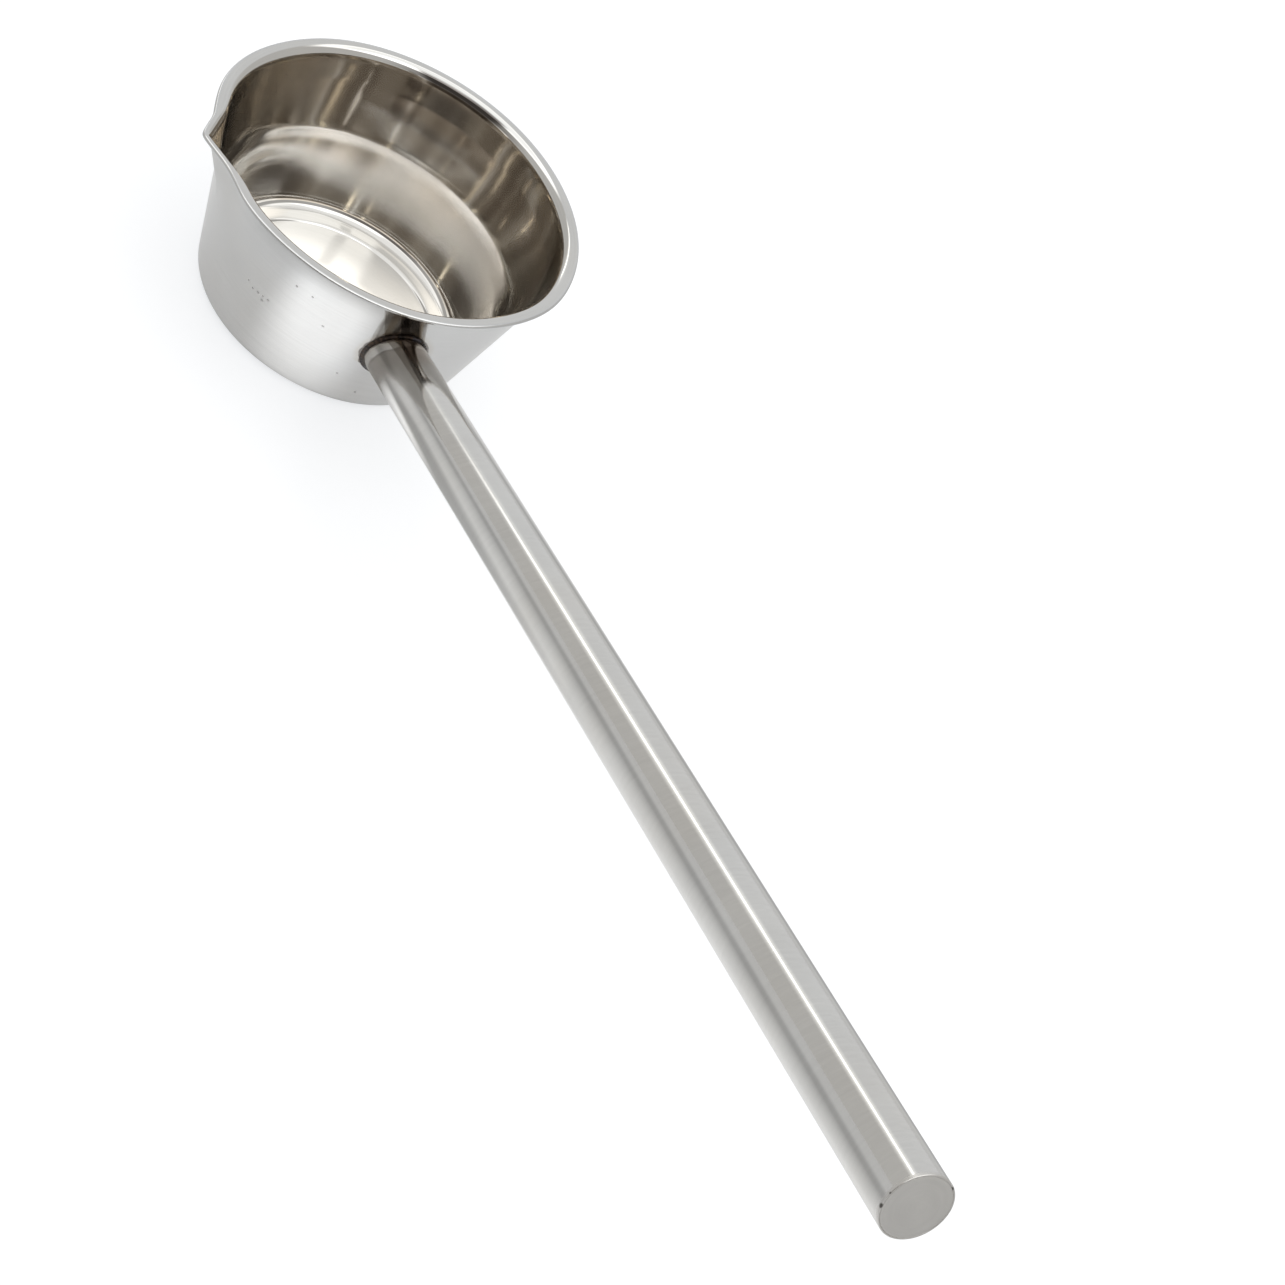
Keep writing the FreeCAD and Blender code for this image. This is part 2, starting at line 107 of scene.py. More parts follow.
# The handle
TILT = math.radians(19.5)
TUBE = 11.0
HANDLE_Z = 40.0
HANDLE_X = BASE + SLOPE * (HANDLE_Z - STEP)
HANDLE_LENGTH = 472.0
DISC = 1.2
SEAM = 0.6  # the ground weld round the disc
SEAM_ROUND = 0.3
BEAD = 1.8  # the weld at the cup
RIPPLE = 0.04  # as a share of the bead's size
RIPPLES = 46
ALONG = np.array([math.cos(TILT), 0, math.sin(TILT)])
START = np.array([HANDLE_X, 0, HANDLE_Z])

SHARP_EDGE = math.radians(38)


def smooth_max(a, b, blend):
    h = np.maximum(blend - np.abs(a - b), 0) / blend
    return np.maximum(a, b) + h * h * blend / 4


def smooth_step(x):
    x = np.clip(x, 0, 1)
    return x * x * (3 - 2 * x)


# The cup's surface

def wall_outside(z):
    return BASE + SLOPE * (z - STEP)


def wall_inside(z):
    return wall_outside(z) - GAUGE * LEAN


def leg(apex, psi, nose):
    """Radius of the V's legs at an angle psi from the spout's point, rounded at the point."""
    soft = nose * V_SLOPE
    across = np.sqrt(np.sin(psi) ** 2 + (soft / apex) ** 2) - soft / apex
    reach = apex / (np.cos(psi) + V_SLOPE * across)
    return np.where(np.abs(psi) < V_END, reach, 0)


def trough(z):
    """Where the inside of the spout's fold lies at a height. It flares towards the top and
    curls over in the last millimetre."""
    depth = HEIGHT - z
    flare = FLARE * np.maximum(1 - depth / FLARE_DEPTH, 0) ** 2
    curl = CURL * (1 - np.sqrt(1 - np.clip(1 - depth, 0, 1) ** 2))
    return wall_inside(z) + SPOUT_GROWTH * (SPOUT_DROP - depth) + flare + curl


def swelling(shape, angle):
    """The size of a swelling at an angle, in radians."""
    size, place, width = shape
    return size * np.exp(-((angle - math.radians(place)) / math.radians(width)) ** 2)


def dent(psi, phi, z):
    """How far the wall stands out from a true cone at psi from the spout's point, which is phi
    round the cup: beside the spout, where it was bumped, in slow waves and by its belly."""
    high = smooth_step((z - DENTS_FROM_Z) / (HEIGHT - DENTS_FROM_Z))
    before, past = SHOULDER_SHARES
    turn = np.tanh(psi / math.radians(SHOULDER_TURN))
    share = (before + past) / 2 + (past - before) / 2 * turn
    shoulder = share * swelling(SHOULDERS, np.abs(psi))
    bump_at = math.radians(BUMP[1])
    nearest = (phi - bump_at + math.pi) % (2 * math.pi) - math.pi + bump_at
    bump = swelling(BUMP, nearest)
    wave = sum(size * np.sin(count * phi + phase) for size, count, phase in WAVES)
    side = swelling(SIDE, phi) * smooth_step((z - STEP) / SIDE_GROWTH)
    return high * (shoulder + bump + wave) + side + belly(z)


def belly(z):
    """The wall is a little fuller than a cone, and turns in slightly over its last part."""
    return np.interp(z, (CORNER_Z, FULLEST_Z, BEND_Z), (0, BELLY, 0))


def drawn(z):
    """How far the inside stands out from the outside's cone: it leans out a little more than
    the outside up to a soft crease and again above it, so the sheet is 0.6 to 1 mm thick."""
    soft = np.linspace(-1, 1, 9) * min(max(z - CORNER_Z, 0), CREASE_SOFTNESS)
    return np.interp(z + soft, *zip(*DRAWN)).mean()


def cup_rows():
    """The cup's section, from the centre of the foot up the outside, over the lip and down
    the inside to the centre of the floor, as (kind, radius or share, height). The kinds are
    the outer face, the hem, the lip's under side, its round edge, its top and the inner
    face."""
    rows = []

    def arc(kind, r, z, radius, first, last, steps):
        for k in range(1, steps + 1):
            a = math.radians(first + (last - first) * k / steps)
            rows.append((kind, r + radius * math.cos(a), z + radius * math.sin(a)))

    def line(kind, r0, z0, r1, z1, steps):
        for k in range(1, steps + 1):
            rows.append((kind, r0 + (r1 - r0) * k / steps, z0 + (z1 - z0) * k / steps))

    # the slope between foot and ring is two arcs of this radius, each of this turn
    ramp = (STEP_WIDTH ** 2 + STEP ** 2) / (4 * STEP)
    turn = math.degrees(math.asin(STEP_WIDTH / 2 / ramp))
    taper = math.degrees(TAPER)

    rows.append(("out", MIDDLE, 0.0))
    line("out", MIDDLE, 0, FOOT, 0, 14)
    arc("out", FOOT, ramp, ramp, -90, -90 + turn, 4)
    arc("out", RING, STEP - ramp, ramp, 90 + turn, 90, 4)
    line("out", RING, STEP, CORNER_R, STEP, 3)
    arc("out", CORNER_R, CORNER_Z, CORNER, -90, -taper, 14)
    high = BEND_Z + BEND * SLOPE / LEAN
    low = CORNER_Z - CORNER * math.sin(TAPER)
    line("out", wall_outside(low), low, wall_outside(high), high, 60)
    arc("out", BEND_R, BEND_Z, BEND, 180 - taper, 90, 10)

    # the hem, as (how far in from its edge, how far under the lip's sheet)
    for inward, under in ((0.0, 0.0), (0.12, 0.1), (0.12, 0.3), (0.12, 0.6), (0.04, 0.75)):
        rows.append(("hem", inward, HEIGHT - GAUGE - under))
    for share in (0.12, 0.3, 0.6, 0.85, 1.0):
        rows.append(("under", share, HEIGHT - 2 * GAUGE))
    for k in range(1, 13):
        a = math.radians(-90 + 180 * k / 12)
        rows.append(("edge", GAUGE * math.cos(a), HEIGHT - GAUGE + GAUGE * math.sin(a)))
    for share in (0.15, 0.35, 0.55, 0.75, 0.9, 1.0):
        rows.append(("top", share, HEIGHT))

    arc("in", BEND_R, BEND_Z, BEND + GAUGE, 90, 180 - taper, 16)
    high = BEND_Z + (BEND + GAUGE) * SLOPE / LEAN
    low = CORNER_Z - (CORNER - GAUGE) * math.sin(TAPER)
    line("in", wall_inside(high), high, wall_inside(low), low, 120)
    arc("in", CORNER_R, CORNER_Z, CORNER - GAUGE, -taper, -90, 14)
    line("in", CORNER_R, STEP + GAUGE, RING, STEP + GAUGE, 4)
    arc("in", RING, STEP - ramp, ramp + GAUGE, 90, 90 + turn, 5)
    arc("in", FOOT, ramp, ramp - GAUGE, -90 + turn, -90, 4)
    line("in", FOOT, GAUGE, MIDDLE, GAUGE, 20)
    return rows


def cup_points():
    """The cup's surface: a row of points round it for each point of its section."""
    half = np.radians(np.concatenate([np.arange(*columns) for columns in COLUMNS]))
    psi = np.concatenate([-half[:0:-1], half])
    phi = psi - math.pi / 2
    top = dent(psi, phi, HEIGHT)
    lip_edge = smooth_max(RIM + top, leg(LIP_TIP, psi, LIP_NOSE), LIP_BLEND) - GAUGE
    inner_edge = smooth_max(BEND_R + top, leg(trough(HEIGHT), psi, IN_NOSE), IN_BLEND)
    spout_side = leg(trough(HEIGHT - HEM_AT) + SPOUT_SKIN, psi, OUT_NOSE) + HEM_CLEARANCE
    hem = np.minimum(smooth_max(HEM + top, spout_side, HEM_BLEND), lip_edge - HEM_LEAST)
    points = []
    for kind, r, z in cup_rows():
        off = dent(psi, phi, z)
        if kind == "out":
            radius = smooth_max(r + off, leg(trough(z) + SPOUT_SKIN, psi, OUT_NOSE), OUT_BLEND)
            if z > HEIGHT - HEM_SIDE:
                radius = np.minimum(radius, hem)
        elif kind == "in":
            radius = smooth_max(r + off + drawn(z), leg(trough(z), psi, IN_NOSE), IN_BLEND)
        elif kind == "hem":
            radius = hem - r
        elif kind == "under":
            radius = hem + (lip_edge - hem) * r
        elif kind == "edge":
            radius = lip_edge + r
        else:
            radius = lip_edge + (inner_edge - lip_edge) * r
        points.append(np.stack([radius * np.cos(phi), radius * np.sin(phi),
                                np.full_like(phi, z)], axis=1))
    return np.array(points)


# Mesh making

def add_object(name, verts, faces, uvs):
    mesh = bpy.data.meshes.new(name)
    mesh.from_pydata([tuple(p) for p in verts * MM], [], faces)
    layer = mesh.uv_layers.new(name="UVMap")
    layer.data.foreach_set("uv", np.array(uvs, dtype=np.float32).ravel())
    mesh.polygons.foreach_set("use_smooth", [True] * len(mesh.polygons))
    mesh.update()
    mesh.set_sharp_from_angle(angle=SHARP_EDGE)
    obj = bpy.data.objects.new(name, mesh)
    bpy.context.scene.collection.objects.link(obj)
    return obj


def lengths_along(points):
    """Mean distance from the first row to each row, in metres."""
    steps = np.linalg.norm(np.diff(points, axis=0), axis=2).mean(axis=1)
    return np.concatenate([[0], np.cumsum(steps)]) * MM


def grid_object(name, points, cap_first=False, cap_last=False, loop=False):
    """A surface from rows of points that close round in columns. u runs round and v along."""
    rows, cols = points.shape[:2]
    v_at = lengths_along(points)
    faces, uvs = [], []
    last_row = rows if loop else rows - 1
    closing = v_at[-1] + MM
    for i in range(last_row):
        j = (i + 1) % rows
        v0, v1 = v_at[i], v_at[j] if j else closing
        for k in range(cols):
            n = (k + 1) % cols
            faces.append((i * cols + k, i * cols + n, j * cols + n, j * cols + k))
            u0, u1 = k / cols, (k + 1) / cols
            uvs += [(u0, v0), (u1, v0), (u1, v1), (u0, v1)]
    if cap_first:
        faces.append(tuple(range(cols))[::-1])
        uvs += [(k / cols, v_at[0]) for k in range(cols)][::-1]
    if cap_last:
        start = (rows - 1) * cols
        faces.append(tuple(range(start, start + cols)))
        uvs += [(k / cols, v_at[-1]) for k in range(cols)]
    return add_object(name, points.reshape(-1, 3), faces, uvs)


CUP_POINTS = cup_points()
LIP_AT = lengths_along(CUP_POINTS)[[row[0] for row in cup_rows()].index("top")]


def make_cup():
    cup = grid_object("cup", CUP_POINTS, cap_first=True, cap_last=True)
    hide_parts("cup_shell")
    return cup


# The handle

def round_columns(count):
    """Equal steps of a full turn."""
    return np.linspace(0, 2 * math.pi, count + 1)[:-1]


def round_axis(theta, radius):
    """Offsets from the handle's axis: theta 0 points up, and a quarter turn to +Y."""
    up = np.array([-math.sin(TILT), 0, math.cos(TILT)])
    side = np.array([0, 1.0, 0])
    theta = np.asarray(theta)[..., None]
    return radius * (np.cos(theta) * up + np.sin(theta) * side)


def wall_distance(offset):
    """How far along the handle's axis a line at this offset meets the cup's wall."""
    o = START + offset
    a = ALONG[0] ** 2 - (ALONG[2] * SLOPE) ** 2
    reach = wall_outside(o[..., 2])
    b = 2 * (o[..., 0] * ALONG[0] - reach * ALONG[2] * SLOPE)
    c = o[..., 0] ** 2 + o[..., 1] ** 2 - reach ** 2
    return (-b + np.sqrt(b * b - 4 * a * c)) / (2 * a)


def handle_row(offset, along):
    """Points at offsets from the handle's axis and distances along it."""
    return START + offset + along[:, None] * ALONG


def make_tube():
    end = HANDLE_LENGTH - DISC
    # from the disc to the wall inside, and back outside, close together at the wall
    inside = np.linspace(1, 0, 12)
    outside = np.concatenate([np.linspace(0, 0.1, 30), np.linspace(0.1, 1, 90)[1:]])
    rows = []
    for radius, shares in ((TUBE - GAUGE, inside), (TUBE, outside)):
        offset = round_axis(round_columns(160), radius)
        near = wall_distance(offset)
        rows += [handle_row(offset, near + (end - near) * share) for share in shares]
    tube = grid_object("tube", np.array(rows)[:, ::-1], loop=True)
    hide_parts("handle_tube")
    return tube


def spun_about_handle(name, section, **options):
    """A ring or disc turned about the handle's axis, from (distance along, radius) points."""
    theta = round_columns(160)
    rows = [START + round_axis(theta, radius) + along * ALONG for along, radius in section]
    return grid_object(name, np.array(rows)[:, ::-1], **options)


def make_end_disc():
    """A flat disc with slightly softened edges."""
    inner, outer = HANDLE_LENGTH - DISC, HANDLE_LENGTH
    edge = TUBE - SEAM
    middle, flat = 0.3, edge - 0.2
    section = [(inner, middle), (inner, flat), (inner + 0.1, edge), (outer - 0.12, edge),
               (outer - 0.03, edge - 0.06), (outer, flat)]
    section += [(outer, flat - (flat - middle) * k / 10) for k in range(1, 11)]
    disc = spun_about_handle("end_disc", section, cap_first=True, cap_last=True)
    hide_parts("handle_end_disc")
    return disc


def make_end_seam():
    """The ground weld: a thin ring with a rounded outer edge and a fine groove at the disc."""
    inner, outer = HANDLE_LENGTH - DISC, HANDLE_LENGTH
    edge = TUBE - SEAM
    section = [(inner, edge), (outer - 0.1, edge), (outer - 0.02, edge + 0.05),
               (outer, edge + 0.12)]
    for k in range(7):
        a = math.radians(90 * k / 6)
        section.append((outer - SEAM_ROUND + SEAM_ROUND * math.cos(a),
                        TUBE - SEAM_ROUND + SEAM_ROUND * math.sin(a)))
    section += [(inner + 0.3, TUBE), (inner, TUBE)]
    seam = spun_about_handle("end_seam", section, loop=True)
    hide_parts("end_disc_weld")
    return seam


def make_bead():
    """The weld round the tube: a low fillet with the small ripples of a run of weld."""
    theta = round_columns(360)
    ripple = RIPPLE * np.sin(theta * RIPPLES + 1.3 * np.sin(theta * 3))
    ripple = ripple + RIPPLE * np.sin(theta * 5 + 1)
    rows = []
    for k in range(13):
        a = k / 12 * math.pi / 2
        swell = 1 + ripple * math.sin(2 * a) * 2
        radius = TUBE + BEAD * (1 - math.cos(a)) * swell
        offset = round_axis(theta, radius[:, None])
        rows.append(handle_row(offset, wall_distance(offset) + BEAD * (1 - math.sin(a)) * swell))
    for radius in (TUBE + BEAD / 2, TUBE):
        offset = round_axis(theta, radius)
        rows.append(handle_row(offset, wall_distance(offset)))
    bead = grid_object("weld_bead", np.array(rows)[:, ::-1], loop=True)
    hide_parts("cup_weld_bead")
    return bead


# Materials

class Nodes:
    """Short calls that add nodes to one node tree. A socket, number or tuple goes in anywhere."""

    def __init__(self, tree):
        self.tree = tree

    def put(self, value, socket):
        if isinstance(value, bpy.types.NodeSocket):
            self.tree.links.new(value, socket)
        elif value is not None:
            socket.default_value = value

    def add(self, kind, out=0, settings=None, **inputs):
        node = self.tree.nodes.new("ShaderNode" + kind)
        for name, value in (settings or {}).items():
            setattr(node, name, value)
        for name, value in inputs.items():
            self.put(value, node.inputs[name])
        return node.outputs[out]

    def math(self, operation, a, b=None, c=None):
        node = self.tree.nodes.new("ShaderNodeMath")
        node.operation = operation
        for value, socket in zip((a, b, c), node.inputs):
            self.put(value, socket)
        return node.outputs[0]

    def total(self, first, *others):
        for other in others:
            first = self.math("ADD", first, other)
        return first

    def product(self, first, *others):
        for other in others:
            first = self.math("MULTIPLY", first, other)
        return first

    def less(self, share, strength):
        """1, less a share of a strength: a factor that weakens."""
        return self.math("MULTIPLY_ADD", share, -strength, 1.0)

    def vector(self, operation, a, b=None, out=0, scale=None):
        node = self.tree.nodes.new("ShaderNodeVectorMath")
        node.operation = operation
        self.put(a, node.inputs[0])
        self.put(b, node.inputs[1])
        if scale is not None:
            self.put(scale, node.inputs["Scale"])
        return node.outputs[out]

    def ramp(self, value, low, high, to_low=0.0, to_high=1.0, smooth=True):
        node = self.tree.nodes.new("ShaderNodeMapRange")
        node.interpolation_type = "SMOOTHSTEP" if smooth else "LINEAR"
        for n, v in enumerate((value, low, high, to_low, to_high)):
            self.put(v, node.inputs[n])
        return node.outputs[0]

    def fade(self, value, low, high):
        """1 up to low, falling smoothly to 0 at high."""
        return self.ramp(value, low, high, 1.0, 0.0)

    def within(self, value, low, high, soft):
        """1 between low and high, falling smoothly to 0 over soft on each side."""
        return self.product(self.ramp(value, low - soft, low), self.fade(value, high, high + soft))

    def mix(self, share, a, b, blend="MIX"):
        node = self.tree.nodes.new("ShaderNodeMix")
        node.data_type = "RGBA"
        node.blend_type = blend
        self.put(share, node.inputs[0])
        for value, socket in ((a, node.inputs[6]), (b, node.inputs[7])):
            self.put(value + (1,) if isinstance(value, tuple) else value, socket)
        return node.outputs[2]

    def stain(self, colour, share, strength, stain):
        """The colour, mixed with a stain's colour by a share of a strength."""
        return self.mix(self.product(share, strength), colour, stain)

    def grey(self, value):
        return self.add("CombineColor", Red=value, Green=value, Blue=value)

    def noise(self, place, scale, detail=2.0, rough=0.5, stretch=None):
        if stretch:
            place = self.vector("MULTIPLY", place, stretch)
        return self.add("TexNoise", Vector=place, Scale=scale, Detail=detail, Roughness=rough)

    def split(self, vector):
        node = self.tree.nodes.new("ShaderNodeSeparateXYZ")
        self.put(vector, node.inputs[0])
        return node.outputs

    def place(self):
        return self.add("TexCoord", out=3)

    def uv(self):
        return self.add("TexCoord", out=2)

    def light_path(self):
        return self.tree.nodes.new("ShaderNodeLightPath").outputs

    def deep(self, seen):
        """1 for what is seen by way of two reflections or more, as inside the cup."""
        return self.math("GREATER_THAN", seen["Glossy Depth"], 1.5)


# The brushed lines, clouds and smears of worn steel: how far they vary its brightness
LINES_SHADE = 0.035
BROAD_SHADE = 0.02
CLOUD_SHADE = (-0.03, 0.02)
SMEAR_TINT = (0.99, 0.965, 0.93)
MARK = (0.05, 0.045, 0.04)  # a speck or a pit
# and how high they stand, in metres
LINES_HEIGHT = 0.0000022
FLECK_HEIGHT = 0.0000006
PIT_DEPTH = 0.00004


def new_material(name):
    material = bpy.data.materials.new(name)
    material.use_nodes = True
    tree = material.node_tree
    tree.nodes.clear()
    out = tree.nodes.new("ShaderNodeOutputMaterial")
    shader = tree.nodes.new("ShaderNodeBsdfPrincipled")
    tree.links.new(shader.outputs[0], out.inputs[0])
    return material, Nodes(tree), shader


def marked(nodes, place, marks):
    """1 in the middle of each mark, falling to 0 at its radius."""
    nearest = None
    for x, y, z, radius in marks:
        gap = nodes.vector("DISTANCE", place, (x, y, z), out=1)
        gap = nodes.math("DIVIDE", gap, radius)
        nearest = gap if nearest is None else nodes.math("MINIMUM", nearest, gap)
    return nodes.fade(nearest, 0.45, 1.0)


def steel(name, colour, roughness, grain, streaks, anisotropic=0.0, tint=None, form=None,
          waves=0.0, marks=(), dark=0.8):
    """Worn bright steel. grain is how far the brushed lines vary the roughness; streaks gives
    how often the lines repeat round the piece and along it; tint adds heat colour and painted
    light; form changes the height and roughness; waves is the height of slow dents; marks are
    specks or pits as (x, y, z, radius) in metres, and dark is how dark they are."""
    material, nodes, shader = new_material(name)
    uv = nodes.uv()
    place = nodes.place()
    lines = nodes.noise(uv, 1.0, 3.0, 0.6, (streaks[0], streaks[1], 1))
    broad_lines = nodes.noise(uv, 1.0, 2.0, 0.5, (streaks[0] * 0.4, streaks[1] * 0.12, 1))
    cloud = nodes.noise(place, 38.0, 3.0, 0.55)
    smear = nodes.noise(place, 14.0, 2.0, 0.6)
    fleck = nodes.noise(place, 900.0, 1.0, 0.5)

    shade = nodes.total(
        nodes.ramp(lines, 0.25, 0.75, -LINES_SHADE, LINES_SHADE, smooth=False),
        nodes.ramp(broad_lines, 0.3, 0.7, -BROAD_SHADE, BROAD_SHADE, smooth=False),
        nodes.ramp(cloud, 0.3, 0.7, *CLOUD_SHADE, smooth=False), 1.0)
    smeared = tuple(c * s for c, s in zip(colour, SMEAR_TINT))
    colour = nodes.mix(nodes.ramp(smear, 0.4, 0.72, 0.0, 0.5), colour, smeared)
    colour = nodes.mix(1.0, colour, nodes.grey(shade), "MULTIPLY")
    rough = nodes.total(
        roughness, nodes.ramp(lines, 0.2, 0.8, -grain, grain, smooth=False),
        nodes.ramp(cloud, 0.45, 0.75, 0.0, grain * 0.9),
        nodes.ramp(smear, 0.5, 0.75, 0.0, grain * 0.7))
    if tint:
        colour, rough = tint(nodes, place, colour, rough)

    height = nodes.total(nodes.product(nodes.math("SUBTRACT", lines, 0.5), LINES_HEIGHT),
                         nodes.product(fleck, FLECK_HEIGHT))
    if waves:
        height = nodes.total(height, nodes.product(nodes.noise(place, 26.0, 1.0, 0.4), waves))
    if form:
        height, rough = form(nodes, place, height, rough)
    if marks:
        mark = marked(nodes, place, marks)
        colour = nodes.stain(colour, mark, dark, MARK)
        rough = nodes.total(rough, nodes.product(mark, dark * 0.5))
        height = nodes.math("SUBTRACT", height, nodes.product(mark, dark * PIT_DEPTH))

    bump = nodes.add("Bump", Height=height, Strength=1.0, Distance=1.0)
    nodes.put(colour, shader.inputs["Base Color"])
    nodes.put(rough, shader.inputs["Roughness"])
    nodes.put(bump, shader.inputs["Normal"])
    shader.inputs["Metallic"].default_value = 1
    if anisotropic:
        shader.inputs["Anisotropic"].default_value = anisotropic
        shader.inputs["Anisotropic Rotation"].default_value = 0.25
        tangent = nodes.add("Tangent", settings={"direction_type": "UV_MAP", "uv_map": "UVMap"})
        nodes.put(tangent, shader.inputs["Tangent"])
    return material


# In materials, places and widths are in metres

def from_handle(nodes, place):
    """Distance along the handle's axis from its start, and distance from the axis."""
    rel = nodes.vector("SUBTRACT", place, tuple(START * MM))
    along = nodes.vector("DOT_PRODUCT", rel, tuple(ALONG), out=1)
    radial = nodes.vector("SUBTRACT", rel, nodes.vector("SCALE", tuple(ALONG), scale=along))
    return along, nodes.vector("LENGTH", radial, out=1)


def wall_gap(nodes, place):
    """Distance outside the cup's wall, level with a point."""
    x, y, z = nodes.split(place)
    reach = nodes.math("SQRT", nodes.total(nodes.product(x, x), nodes.product(y, y)))
    wall = nodes.math("MULTIPLY_ADD", z, SLOPE, (BASE - SLOPE * STEP) * MM)
    return nodes.math("DIVIDE", nodes.math("SUBTRACT", reach, wall), LEAN)


def within_cup(nodes):
    """1 on the cup's inside, from the lip's top on."""
    return nodes.math("GREATER_THAN", nodes.split(nodes.uv())[1], LIP_AT)


def facing(nodes, x, y):
    """1 on the wall opposite the handle, falling to 0 at its sides."""
    return nodes.product(nodes.fade(x, 0.002, 0.016), nodes.ramp(y, -0.030, 0.000))


def cup_form(nodes, place, height, rough):
    """The drawn inside: smoother than the outside and smoothest on the floor, with a duller
    band up to the crease."""
    x, y, z = nodes.split(place)
    inside = within_cup(nodes)
    height = nodes.product(height, nodes.less(inside, 0.7))
    rough = nodes.product(rough, nodes.less(inside, 0.55))
    band = nodes.product(nodes.ramp(z, 0.008, 0.020), nodes.fade(z, 0.0325, 0.0365))
    patchy = nodes.ramp(nodes.noise(place, 16.0, 1.0), 0.35, 0.65, 0.05, 0.16)
    patchy = nodes.product(patchy, nodes.product(inside, facing(nodes, x, y)))
    rough = nodes.math("MULTIPLY_ADD", band, patchy, rough)
    floor = nodes.product(nodes.fade(z, 0.003, 0.006), inside)
    rough = nodes.product(rough, nodes.less(floor, 0.45))
    return height, rough


LIP_SHADE_AZIMUTH = 2.566  # in radians: the middle of the painted shade under the lip
WELD_STRAW = (0.52, 0.46, 0.38)
WELD_BROWN = (0.08, 0.06, 0.05)
# painted reflection: the outside is tinted a little cooler than the inside
COOL_REFLECTION_TINT = (0.985, 1.0, 1.025)
# painted reflection: the tube's dark mirror image on the wall above the weld, and its near black
# core
PAINTED_TUBE_REFLECTION = (0.17, 0.145, 0.115)
PAINTED_TUBE_REFLECTION_CORE = (0.05, 0.043, 0.037)
# painted highlight: a paler band inside, below the crease
PAINTED_HIGHLIGHT_BAND = (0.98, 0.96, 0.93)
# painted reflection: the inside above the crease, darker and warmer
PAINTED_DARK_REFLECTION = (0.46, 0.42, 0.37)
CUP_FLOOR = (0.53, 0.52, 0.50)
# painted shade: a dark strip inside, under the lip's bend
LIP_SHADE = (0.08, 0.068, 0.06)
# darker towards the bottom of the outside
BASE_EDGE_TONE = (0.42, 0.41, 0.39)


def weld_heat_and_painted_reflection(nodes, place, outside, colour, rough):
    """On the outside, a narrow ring of heat colour round the weld, brown and then straw, a painted
    cool reflection over the whole outside, and a painted dark reflection of the tube on the wall
    above the weld, brown with a near black core."""
    along, radial = from_handle(nodes, place)
    warp = nodes.ramp(nodes.noise(place, 260.0, 2.0), 0.3, 0.7, -0.0003, 0.0003, smooth=False)
    edge = nodes.total(nodes.math("SUBTRACT", radial, TUBE * MM), warp)
    near = nodes.math("GREATER_THAN", along, -0.006)
    straw = nodes.product(nodes.fade(edge, 0.002, 0.0042), near)
    brown = nodes.product(nodes.fade(edge, 0.0014, 0.0019), near)
    colour = nodes.stain(colour, straw, 0.3, WELD_STRAW)
    colour = nodes.stain(colour, brown, 0.7, WELD_BROWN)
    rough = nodes.total(rough, nodes.product(brown, 0.1))

    # painted reflection: the whole outside tinted a little cooler
    colour = nodes.mix(outside, colour, COOL_REFLECTION_TINT, "MULTIPLY")
    x, y, z = nodes.split(place)
    # painted reflection: the tube's dark mirror image on the wall above the weld, brown with a
    # near black core
    above = nodes.product(outside, near, nodes.within(z, 0.050, 0.069, 0.002))
    sway = nodes.math("MULTIPLY_ADD", z, 0.46, y)
    mark = nodes.product(nodes.within(sway, 0.0148, 0.0282, 0.0010), above)
    reflection_core = nodes.product(nodes.within(sway, 0.0210, 0.0278, 0.0007), above)
    colour = nodes.stain(colour, mark, 0.62, PAINTED_TUBE_REFLECTION)
    return nodes.stain(colour, reflection_core, 0.75, PAINTED_TUBE_REFLECTION_CORE), rough


def inside_tones_and_painted_light(nodes, place, inside, colour):
    """Inside the cup: a painted highlight band below the crease on the wall opposite the handle,
    a warmer, darker painted reflection above it, and warmer and darker on the floor."""
    x, y, z = nodes.split(place)
    # painted highlight: paler below the crease, on the wall opposite the handle
    pale = nodes.product(nodes.fade(z, 0.034, 0.0375), nodes.ramp(z, 0.012, 0.034), inside,
                         facing(nodes, x, y))
    colour = nodes.mix(pale, colour, PAINTED_HIGHLIGHT_BAND)
    # painted reflection: darker and warmer above the crease, most at the sides
    dark_reflection = nodes.product(nodes.within(z, 0.038, 0.066, 0.003), inside)
    depth = nodes.math("MULTIPLY_ADD", facing(nodes, x, y), -0.58, 0.74)
    colour = nodes.stain(colour, dark_reflection, depth, PAINTED_DARK_REFLECTION)
    # darker and warmer on the floor
    floor = nodes.product(nodes.fade(z, 0.004, 0.007), inside)
    return nodes.stain(colour, floor, 0.8, CUP_FLOOR)


def cup_tint(nodes, place, colour, rough):
    """Heat colour and painted reflection outside, tones and painted light inside, painted shade
    under the lip, and darker towards the bottom of the outside."""
    inside = within_cup(nodes)
    outside = nodes.math("SUBTRACT", 1.0, inside)
    colour, rough = weld_heat_and_painted_reflection(nodes, place, outside, colour, rough)
    colour = inside_tones_and_painted_light(nodes, place, inside, colour)

    z = nodes.split(place)[2]
    middle = (math.cos(LIP_SHADE_AZIMUTH), math.sin(LIP_SHADE_AZIMUTH), 0.0)
    reach = nodes.vector("DOT_PRODUCT", place, middle, out=1)
    # painted shade: a dark strip inside, under the lip's bend
    lip_shade = nodes.product(nodes.within(z, 0.0672, 0.0699, 0.0005),
                          nodes.ramp(reach, 0.0662, 0.0680), inside)
    colour = nodes.stain(colour, lip_shade, 0.88, LIP_SHADE)
    # darker towards the bottom of the outside
    base_edge = nodes.product(nodes.fade(z, 0.0015, 0.0055), outside)
    return nodes.stain(colour, base_edge, 0.5, BASE_EDGE_TONE), rough


# straw heat colour, which also stands in for a painted dark reflection of the cup's wall
TUBE_STRAW_AND_REFLECTION = (0.24, 0.215, 0.19)
